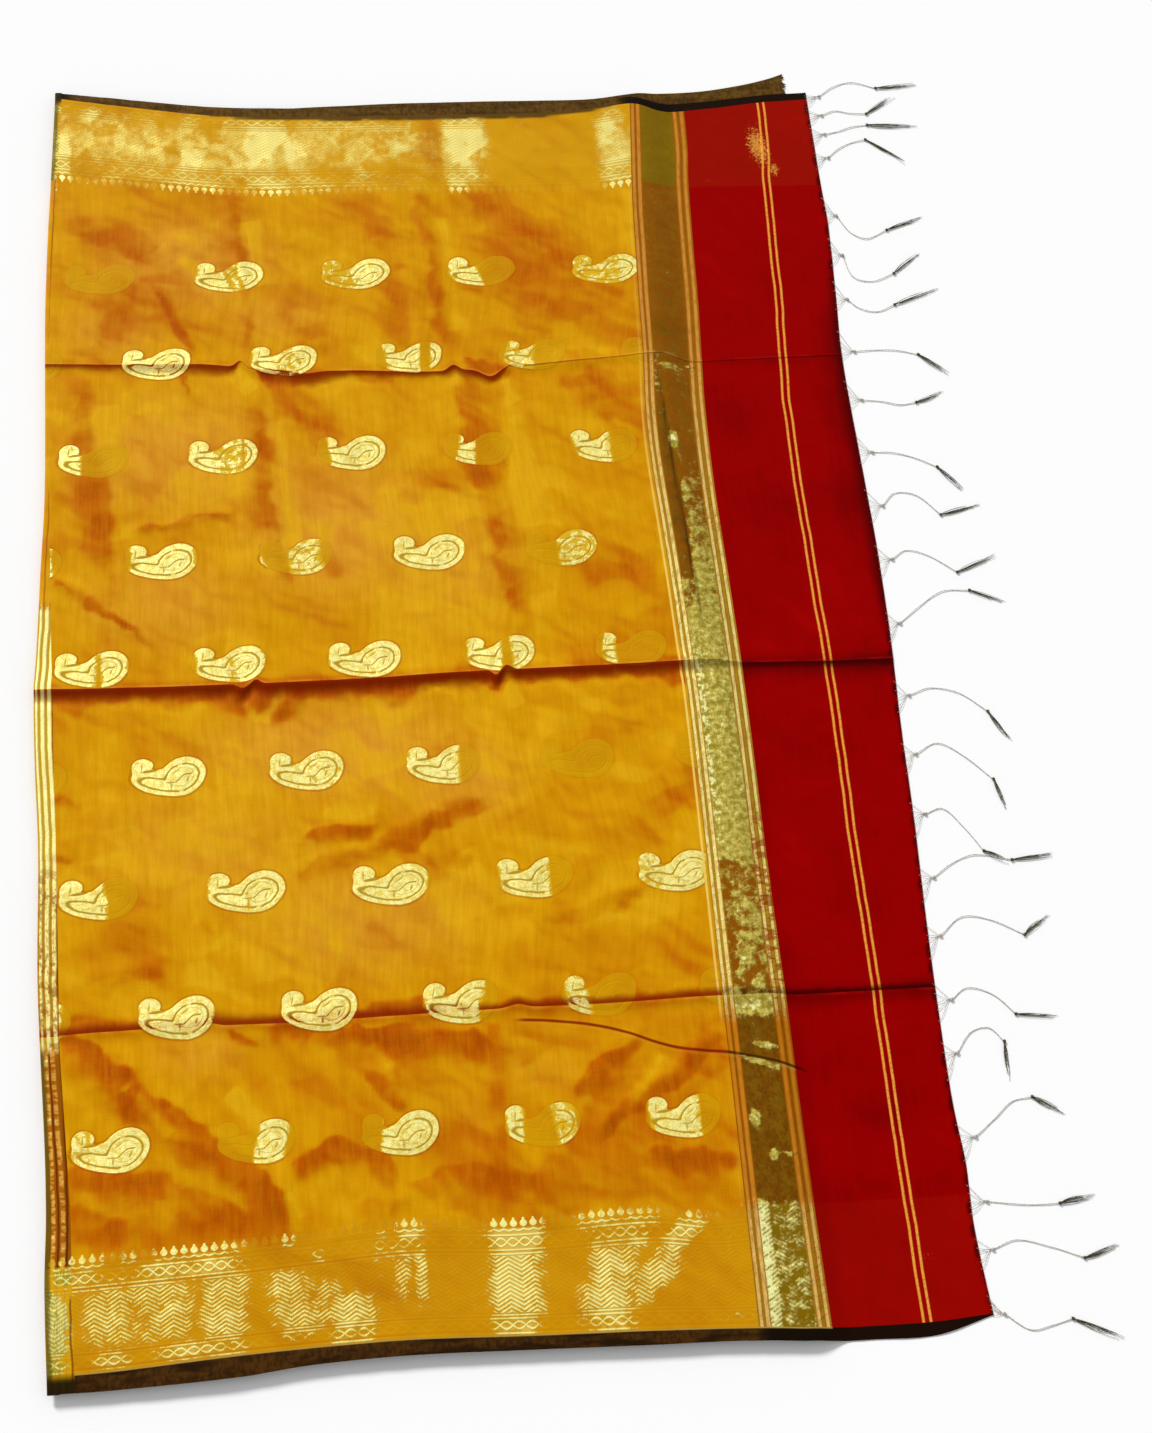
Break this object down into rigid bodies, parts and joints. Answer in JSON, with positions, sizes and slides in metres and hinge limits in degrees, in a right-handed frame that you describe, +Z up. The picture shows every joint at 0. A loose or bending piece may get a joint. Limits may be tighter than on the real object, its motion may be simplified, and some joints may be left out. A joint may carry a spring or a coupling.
{
  "type": "folded sari",
  "caption": "Sari folded lengthwise and laid flat, pallu end uppermost, with zari borders, striped band, red pallu and knotted tassels along its end.",
  "frame": {"origin": "middle of the flat underside of the whole box, on the surface the sari lies on", "axes": "+X along the cloth from its left fold to the tassels, +Y across the cloth towards the far border, +Z up"},
  "size_m": [0.8222, 1.1962, 0.012],
  "materials": {
    "hidden_cloth": "satin",
    "body_cloth": "satin",
    "zari_border": "satin",
    "selvedge_cloth": "satin",
    "band_cloth": "satin",
    "pallu_cloth": "satin",
    "fold_cloth": "satin",
    "fringe_thread": "matte"
  },
  "bodies": {
    "root": {"hidden_layers": "hidden_cloth", "body_field": "body_cloth", "border_far": "zari_border", "border_near": "zari_border", "selvedge_far": "selvedge_cloth", "selvedge_near": "selvedge_cloth", "zari_band": "band_cloth", "pallu": "pallu_cloth", "fold_edge": "fold_cloth", "lower_ply_far": "selvedge_cloth", "fringe": "fringe_thread"}
  },
  "joints": []
}
